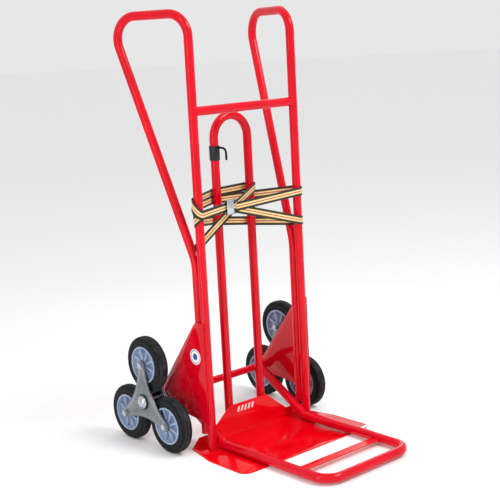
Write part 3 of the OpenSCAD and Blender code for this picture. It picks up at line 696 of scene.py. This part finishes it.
# %% Tyres
TYRE_BORE, TREAD_FROM, TREAD_FADE = 53.3, 72.0, 6.0
GROOVES, GROOVE_DEPTH = (6.2, 9.6), 1.1


def tyre_profile(outer, half, bore, shoulder=12.0):
    """The tyre's section as (radius, x) in millimetres, from one bead over the tread to the other."""
    def tread_radius(x):
        over = max(abs(x) - (half - shoulder), 0.0)
        return outer - shoulder + math.sqrt(max(shoulder ** 2 - over ** 2, 0.0))

    side = [(bore, half - 1.4), (bore + 2.2, half - 1.2), (bore + 3.0, half), (bore + 4.6, half),
            (bore + 5.4, half - 0.6), (outer - shoulder - 2.4, half - 0.5)]
    top = []
    for i in range(49):
        x = half * math.cos(math.pi * i / 48)
        top.append((tread_radius(x), x))
    for centre in [g * s for g in GROOVES for s in (-1, 1)]:
        top = [p for p in top if abs(p[1] - centre) > 0.85]
        for dx, depth in ((-0.8, 0.0), (-0.45, GROOVE_DEPTH), (0.45, GROOVE_DEPTH), (0.8, 0.0)):
            top.append((tread_radius(centre + dx) - depth, centre + dx))
    top.sort(key=lambda p: -p[1])
    return side + top[1:-1] + [(r, -x) for r, x in reversed(side)]


def tread_mark(radius):
    """0 on the tyre's side and 1 on its tread, with a soft change between them."""
    return min(max((radius - TREAD_FROM) / TREAD_FADE, 0.0), 1.0)


for side in SIDES:
    for place in WHEELS:
        node = f"{side}_{place}_tyre"
        low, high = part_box(node)
        profile = tyre_profile((high.z - low.z) / 2 / MM, (high.x - low.x) / 2 / MM, TYRE_BORE)
        tyre = turned(node + "_rubber", profile, middle(node), RUBBER, steps=120, mark=tread_mark)
        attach(tyre, body_of(node))
        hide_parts(node)
print("tyre profile points:", len(profile))

# %% [markdown]
# The rim is one moulding: a ring that carries the tyre, a thin web, a hub and eight spokes. The ring, web
# and hub are turned from one profile. A spoke is drawn once, and the tree repeats it on the circle.

# %% Rims
# half of the section, from the seat of the tyre to the bore of the hub; the other half mirrors it
RIM_HALF = [(53.2, 17.4), (52.6, 18.1), (51.9, 18.2), (49.2, 18.2), (48.3, 17.8), (47.9, 17.0),
            (46.9, 6.5), (45.6, 4.4), (43.6, 3.2), (17.0, 3.2), (14.6, 4.2), (13.4, 6.0),
            (12.2, 19.8), (11.6, 20.8), (10.8, 21.0), (7.6, 21.0)]
mirrored = [(radius, -x) for radius, x in reversed(RIM_HALF)]
RIM_PROFILE = mirrored[-1:] + RIM_HALF + mirrored[:-1]
SPOKES, SPOKE_TURN = 8, 22.5
SPOKE_STATIONS = [(10, 3.6, 16.5), (24, 2.9, 14.0), (47.4, 3.6, 12.5)]


def tapered_bar(name, stations, material, bevel_mm):
    """A bar along +Y through stations of (y, half width in Z, half depth in X), with rounded edges."""
    vertices, faces = [], []
    for y, half_z, half_x in stations:
        vertices += [(sx * half_x * MM, y * MM, sz * half_z * MM)
                     for sx, sz in ((-1, -1), (1, -1), (1, 1), (-1, 1))]
    last = len(stations) - 1
    for i in range(last):
        faces += [(4 * i + k, 4 * i + (k + 1) % 4, 4 * i + 4 + (k + 1) % 4, 4 * i + 4 + k) for k in range(4)]
    faces += [(3, 2, 1, 0), tuple(4 * last + k for k in range(4))]
    bar = make(name, vertices, faces, material)
    bevel = bar.modifiers.new("bevel", "BEVEL")
    bevel.width, bevel.segments = bevel_mm * MM, 2
    return settle(name, baked(bar))


spoke = tapered_bar("spoke", SPOKE_STATIONS, RIM, 0.9)
for side in SIDES:
    for place in WHEELS:
        node = f"{side}_{place}_rim"
        centre = middle(node)
        rim = turned(node + "_moulding", RIM_PROFILE, centre, RIM, steps=96)
        spokes = grow(node + "_spokes", ring_tree, Part=spoke, Count=SPOKES, Radius=0.0, Centre=centre,
                      Start=math.radians(SPOKE_TURN), Material=RIM)
        for piece in (rim, spokes):
            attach(piece, body_of(node))
            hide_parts(node)
drop(spoke)
print("rims made:", len(RIM_PROFILE), "profile points and", SPOKES, "spokes each")

# %% [markdown]
# ## Stars and axle
# A star is two pressed plates on a hub, dull zinc with a rim turned towards the wheels. Their CAD shape is
# kept and only softened, wider at the folded rim than a cut edge would be. The axle and its spacer tubes keep
# their shape and get a finish.

# %% Stars, hubs and spacers
for side in SIDES:
    for plate in ("outer", "inner"):
        softened(f"{side}_star_{plate}_plate", 1.3, ZINC_PLATE, segments=3)
    softened(f"{side}_star_bushes", 0.5, NYLON)
    paint_node(f"{side}_star_hub", ZINC)
    paint_node(f"{side}_wheel_sleeves", ZINC)
softened("spacer_collars", 0.6, ZINC)
paint_node("axle_spacers", SPACER)
paint_node("axle_shaft", ZINC)
print("stars, hubs and spacers made")

# %% [markdown]
# ### Pressed lines on the stars
# The press leaves a fine line on the outer plates, a little inside their edge. Its outline is the plate's
# own, moved inwards: three small arcs round the bolts and three large hollow arcs between them.

# %% Pressed lines
STAR_R, STAR_END_R, STAR_WAIST, LINE_INSET = 107.0, 15.0, 46.0, 7.5
LINE_SIZE, LINE_SUNK = 0.8, 0.25


def arc(centre, radius, start, end, steps):
    """Points of an arc in the plane of the star, in millimetres and degrees."""
    turns = [math.radians(start + (end - start) * k / steps) for k in range(steps + 1)]
    return [(centre[0] + radius * math.cos(t), centre[1] + radius * math.sin(t)) for t in turns]


hollow_r = ((STAR_END_R ** 2 - STAR_WAIST ** 2 - STAR_R ** 2 + STAR_WAIST * STAR_R)
            / (2 * STAR_WAIST - STAR_R - 2 * STAR_END_R))
far = hollow_r + STAR_WAIST
lean = math.degrees(math.atan2(far * math.sin(math.radians(60)), far / 2 - STAR_R))
star_line = []
for arm in (90, -30, -150):
    tip = arc((AXLE_Y, AXLE_Z), STAR_R, arm, arm, 1)[0]
    hollow = arc((AXLE_Y, AXLE_Z), far, arm - 60, arm - 60, 1)[0]
    star_line += arc(tip, STAR_END_R - LINE_INSET, arm + lean, arm - lean, 12)
    star_line += arc(hollow, hollow_r + LINE_INSET, arm + 180 - lean, arm + 60 + lean, 40)[1:-1]
star_line.append(star_line[0])
for side, sx in (("left", -1), ("right", 1)):
    plate_low, plate_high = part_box(f"{side}_star_outer_plate")
    face = (plate_low.x if sx < 0 else plate_high.x) / MM - sx * LINE_SUNK
    path = polyline([Vector((face, y, z)) * MM for y, z in star_line])
    line = grow(f"{side}_star_pressed_line", line_tree, Path=path, Size=LINE_SIZE * MM,
                Material=ZINC)
    drop(path)
    line.data.shade_smooth()
    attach(line, f"{side}_star")
print("pressed lines:", len(star_line), "points")

# %% [markdown]
# ### Axle caps
# A polished cap closes each end of the axle: a low dome with a small foot and a socket for the axle's end.
# It is turned from one profile, mirrored for the left side.

# %% Axle caps
CAP_HEIGHT = 11.5
CAP_PROFILE = [(0.0, 11.4), (4.0, 11.2), (8.0, 10.5), (11.5, 9.2), (14.2, 7.3), (15.6, 5.4), (16.2, 4.4),
               (17.2, 3.9), (18.4, 3.5), (18.9, 2.8), (19.0, 0.0), (9.0, 0.0), (9.0, 5.6), (0.0, 5.6)]
low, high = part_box("hub_caps")
for side, sx, outer in (("left", -1, low.x), ("right", 1, high.x)):
    base = Vector((outer - sx * CAP_HEIGHT * MM, AXLE_Y * MM, AXLE_Z * MM))
    profile = [(max(r, 0.02), sx * x) for r, x in CAP_PROFILE]
    cap = turned(f"{side}_axle_cap", profile, base, CHROME, steps=72)
    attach(cap, "frame")
    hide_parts("hub_caps")
print("axle caps made:", len(CAP_PROFILE), "profile points")

# %% [markdown]
# ### Bolts and nuts
# A hexagon head has a chamfer, so its corners are lower than its middle. One head, one nut and one threaded
# end are drawn, and the tree repeats each on the circle of the three wheels.

# %% A chamfered hexagon
BOLT_FLATS, HEAD_HEIGHT, NUT_HEIGHT, WASHER_R = 17.0, 6.4, 8.0, 10.4
CHAMFER_SLOPE = 0.5


def hexagon(name, flats, height, direction, both=False, washer=0.0):
    """A chamfered hexagon along X in millimetres, growing in the given direction."""
    sides, inner = 48, flats / 2 * 0.96
    outline = []
    for i in range(sides):
        turn = 2 * math.pi * i / sides
        outline.append((turn, flats / 2 / math.cos((turn % (math.pi / 3)) - math.pi / 6)))

    def level(x, radius):
        """A round ring at the height x."""
        return [(x, t, radius) for t, _ in outline]

    rings = [level(0.0, washer), level(1.0, washer)] if washer else []
    foot = 1.0 if washer else 0.0
    if both:
        rings += [level(0.0, inner), [((r - inner) * CHAMFER_SLOPE, t, r) for t, r in outline]]
    else:
        rings.append([(foot, t, r) for t, r in outline])
    rings.append([(height - (r - inner) * CHAMFER_SLOPE, t, r) for t, r in outline])
    rings += [level(height, inner), level(height - 0.3, inner * 0.45)]
    vertices = [(direction * x * MM, r * math.cos(t) * MM, r * math.sin(t) * MM) for ring in rings
                for x, t, r in ring]
    faces = [(a + i, a + (i + 1) % sides, a + sides + (i + 1) % sides, a + sides + i)
             for a in range(0, (len(rings) - 1) * sides, sides) for i in range(sides)]
    faces += [tuple(range(sides)), tuple((len(rings) - 1) * sides + i for i in range(sides))]
    return make(name, vertices, faces, ZINC, 25.0)


print("hexagon helper ready")

# %% Bolt heads, nuts and threaded ends
THREAD_PITCH, THREAD_ROOT_R, THREAD_TOP_R = 1.5, 4.4, 4.95
THREAD = [(0.02, 0.0)]
for ridge in range(7):
    THREAD += [(THREAD_ROOT_R, ridge * THREAD_PITCH), (THREAD_TOP_R, ridge * THREAD_PITCH + 0.75)]
THREAD += [(4.2, 10.5), (0.02, 10.8)]

for side, sx in (("left", -1), ("right", 1)):
    bolts, nuts = f"{side}_wheel_bolts", f"{side}_wheel_nuts"
    body = body_of(bolts)
    low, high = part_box(bolts)
    face = (low.x if sx < 0 else high.x) - sx * HEAD_HEIGHT * MM
    nut_low, nut_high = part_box(nuts)
    nut_face = nut_low.x if sx < 0 else nut_high.x
    head = hexagon("head", BOLT_FLATS, HEAD_HEIGHT, sx, washer=WASHER_R)
    nut = hexagon("nut", BOLT_FLATS, NUT_HEIGHT, -sx, both=True)
    stub = turned("stub", [(r, -sx * x) for r, x in THREAD], Vector((0, 0, 0)), ZINC, steps=32)
    for name, part, x, node in (("bolt_heads", head, face, bolts), ("nuts", nut, nut_face, nuts),
                                ("bolt_ends", stub, nut_face, bolts)):
        piece = grow(f"{side}_{name}", ring_tree, Part=part, Count=len(WHEELS), Radius=STAR_R * MM,
                     Centre=Vector((x, AXLE_Y * MM, AXLE_Z * MM)), Start=math.radians(90), Material=ZINC)
        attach(piece, body)
        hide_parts(node)
    drop(head, nut, stub)
print("bolts and nuts made")

# %% [markdown]
# ## Latch, buckle and marks
# The latch is a black sleeve that slides on the hoop, with a coated steel hook. The buckle is a folded
# channel with a cam lever. Their CAD shapes are right, so their edges are softened and they get a finish.

# %% Latch and buckle
softened("latch_sleeve", 0.8, LATCH)
softened("latch_hook", 0.8, HOOK, segments=3)
softened("buckle_body", 0.5, ZINC)
softened("buckle_lever", 0.4, ZINC)
print("latch and buckle made")

# %% [markdown]
# ### Label and plate marks
# A round vinyl label sits on the gusset. Its rings are a colour ramp over the distance from its centre. The
# marks on the toe plate's flange are five thin slanted bars, like screen print. Neither holds any words.

# %% Label on the gusset
LABEL_R = 0.0225


def sticker():
    """Printed vinyl: a blue centre, a white field and two grey rings."""
    material, tree, shader, place = finish("printed_vinyl_label", Roughness=0.35, Coat_Weight=0.3)
    centre = middle("gusset_label")
    far = add(tree, "ShaderNodeVectorMath", {0: place, 1: tuple(centre)}, operation="DISTANCE")
    rings = add(tree, "ShaderNodeMapRange", {"Value": far.outputs["Value"], "From Min": 0.0,
                                             "From Max": LABEL_R})
    blue, white, grey, pale = (linear(c) for c in ("2B4E9C", "F2F2F4", "9FA6B4", "DADCE2"))
    colour = add(tree, "ShaderNodeValToRGB", {"Fac": rings.outputs["Result"]}, [
        (0.0, blue), (0.42, white), (0.74, grey), (0.86, pale)])
    colour.color_ramp.interpolation = "CONSTANT"
    fade = add(tree, "ShaderNodeTexNoise", {"Vector": place, "Scale": 150.0, "Detail": 3.0})
    rough = add(tree, "ShaderNodeMapRange", {"Value": fade.outputs["Fac"], "To Min": 0.25, "To Max": 0.5})
    link(tree, shader, Base_Color=colour.outputs["Color"], Roughness=rough.outputs["Result"])
    return material


softened("gusset_label", 0.2, sticker())
print("label made")

# %% Marks on the toe plate
PRINT = moulded("white_screen_print", "F4F2F0", "E2DEDC", 0.35, 0.5, 800.0)
FLANGE_Y, BARS, BAR_PITCH, BAR_WIDTH, BAR_SLANT, BAR_FOOT, BAR_TOP = 50.0, 5, 13.5, 7, 5, 66, 82
vertices, faces = [], []
for i in range(BARS):
    x0 = -46 + BAR_PITCH * i
    corners = [(x0, BAR_FOOT), (x0 + BAR_WIDTH, BAR_FOOT), (x0 + BAR_WIDTH + BAR_SLANT, BAR_TOP),
               (x0 + BAR_SLANT, BAR_TOP)]
    start = len(vertices)
    for y in (FLANGE_Y - 0.25, FLANGE_Y - 0.02):
        vertices += [Vector((x, y, z)) * MM for x, z in corners]
    faces += [tuple(start + k for k in (0, 1, 2, 3)), tuple(start + k for k in (7, 6, 5, 4))]
    faces += [(start + k, start + 4 + k, start + 4 + (k + 1) % 4, start + (k + 1) % 4) for k in range(4)]
marks = make("plate_marks", vertices, faces, PRINT)
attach(marks, "frame")
print("marks made:", BARS, "bars")

# %% [markdown]
# ## Strap
# One length of 25 mm webbing leaves the buckle, goes round the left upright and behind the hoop, and comes
# back to the buckle three times: once round the hoop's right leg and twice round the right upright. Its tail
# is tucked behind the left upright. Pulled tight, webbing runs straight between tubes and lies flat on
# them, so its plan is made of common tangents and arcs. Layers that share a tube lie on each other, so each
# loop has its own radius.

# %% Route of a tight strap
TAIL_WRAP, ARC_STEP, RUN_STEP = math.radians(58), 0.12, 6.0


def tangent(first, second):
    """The straight run from one circle to the next; a circle is (x, y, radius, turn), turn +1 or -1."""
    (x0, y0, r0, t0), (x1, y1, r1, t1) = first, second
    s0, s1 = r0 * t0, r1 * t1
    gap = Vector((x1 - x0, y1 - y0))
    run = math.sqrt(max(gap.length ** 2 - (s1 - s0) ** 2, 1e-9))
    heading = math.atan2(gap.y, gap.x) - math.atan2(s1 - s0, run)
    normal = Vector((-math.sin(heading), math.cos(heading)))
    return Vector((x0, y0)) - normal * s0, Vector((x1, y1)) - normal * s1


def route(stops):
    """Points in millimetres along stops of (x, y, radius, turn, height in, height out)."""
    runs = [tangent(a[:4], b[:4]) for a, b in zip(stops, stops[1:])]
    points = []
    for i, (x, y, radius, turn, z_in, z_out) in enumerate(stops):
        centre = Vector((x, y))
        if radius == 0:
            points.append(Vector((x, y, z_in)))
            continue
        start = runs[i - 1][1] - centre if i else None
        end = runs[i][0] - centre if i < len(runs) else None
        a0 = math.atan2(start.y, start.x)
        sweep = TAIL_WRAP
        if end is not None:
            sweep = turn * (math.atan2(end.y, end.x) - a0) % (2 * math.pi)
        count = max(int(sweep / ARC_STEP), 3)
        for k in range(count + 1):
            a = a0 + turn * sweep * k / count
            ease = k / count
            ease = ease * ease * (3 - 2 * ease)
            z = z_in + (z_out - z_in) * ease
            points.append(Vector((x + radius * math.cos(a), y + radius * math.sin(a), z)))
    dense = [points[0]]
    for a, b in zip(points, points[1:]):
        steps = max(int((b - a).length / RUN_STEP), 1)
        dense += [a.lerp(b, k / steps) for k in range(1, steps + 1)]
    return dense


print("route helpers ready")

# %% [markdown]
# Each stop is a tube that the strap goes round, with the radius of its layer, the way it turns and its height
# on arrival and on leaving. A stop with no radius is one end at the buckle. The first three lines are the
# loops, the fourth is the tail, and the last is the short run inside the buckle.

# %% Loops of the strap
LAYER = [TUBE_R + 0.5 + THICK * (k + 0.5) + 0.15 * k for k in range(3)]
entry, leave = (-99.0, -8.9), (-59.0, -8.9)
LOOPS = [
    [(entry[0], entry[1] - 1.5, 0, 0, 681, 681), (-UP_X, 0, LAYER[2], -1, 672, 706),
     (-HOOP_X, HOOP_Y, LAYER[2], -1, 710, 711), (HOOP_X, HOOP_Y, LAYER[2], -1, 714, 713),
     (leave[0], leave[1] - 1.5, 0, 0, 684, 684)],
    [(entry[0], entry[1], 0, 0, 681, 681), (-UP_X, 0, LAYER[1], -1, 673, 690),
     (-HOOP_X, HOOP_Y, LAYER[1], -1, 692, 691), (HOOP_X, HOOP_Y, LAYER[1], -1, 688, 688),
     (UP_X, 0, LAYER[1], -1, 693, 690), (leave[0], leave[1], 0, 0, 678, 678)],
    [(entry[0], entry[1] + 1.5, 0, 0, 681, 681), (-UP_X, 0, LAYER[0], -1, 671, 650),
     (-HOOP_X, HOOP_Y, LAYER[0], -1, 634, 631), (HOOP_X, HOOP_Y, LAYER[0], -1, 614, 612),
     (UP_X, 0, LAYER[0], -1, 600, 605), (leave[0], leave[1] + 1.5, 0, 0, 674, 674)],
    [(leave[0] - 2, -2.0, 0, 0, 676, 676), (-UP_X, 0, LAYER[0], 1, 583, 566)],
    [(entry[0], entry[1], 0, 0, 681, 681), (leave[0], leave[1], 0, 0, 681, 681)],
]
print("layers at", [round(radius, 2) for radius in LAYER], "mm from the middle of a tube")

# %% [markdown]
# Each loop becomes a ribbon on its edge, and the ribbons together are one sheet. The distance along goes on
# from loop to loop, so that the weave doesn't jump.

# %% Webbing along the loops
ribbons, length = [], 0.0
for stops in LOOPS:
    line = route(stops)
    path = polyline([p * MM for p in line])
    ribbon = grow("ribbon", ribbon_tree, Path=path, Width=WIDE * MM, Thickness=THICK * MM, Material=WEBBING)
    drop(path)
    count = len(ribbon.data.vertices) // len(line)
    steps = np.cumsum([0.0] + [(b - a).length for a, b in zip(line, line[1:])])
    lifts = np.array([v.co.z for v in ribbon.data.vertices]).reshape(len(line), count) / MM
    middle_z = (lifts.max(1) + lifts.min(1))[:, None] / 2
    spread = np.maximum((lifts.max(1) - lifts.min(1))[:, None], 1e-6)
    across = (lifts - middle_z) / spread * WIDE
    along = np.repeat(steps[:, None] + length, count, axis=1)
    for label, values in (("across", across), ("along", along)):
        ribbon.data.attributes.new(label, "FLOAT", "POINT").data.foreach_set("value", values.ravel())
    length += steps[-1]
    ribbons.append(ribbon)
strap = joined("strap_webbing", ribbons, WEBBING)
strap.data.set_sharp_from_angle(angle=math.radians(40))
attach(strap, "frame")
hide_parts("strap")
print("webbing: %.2f m" % (length * MM))
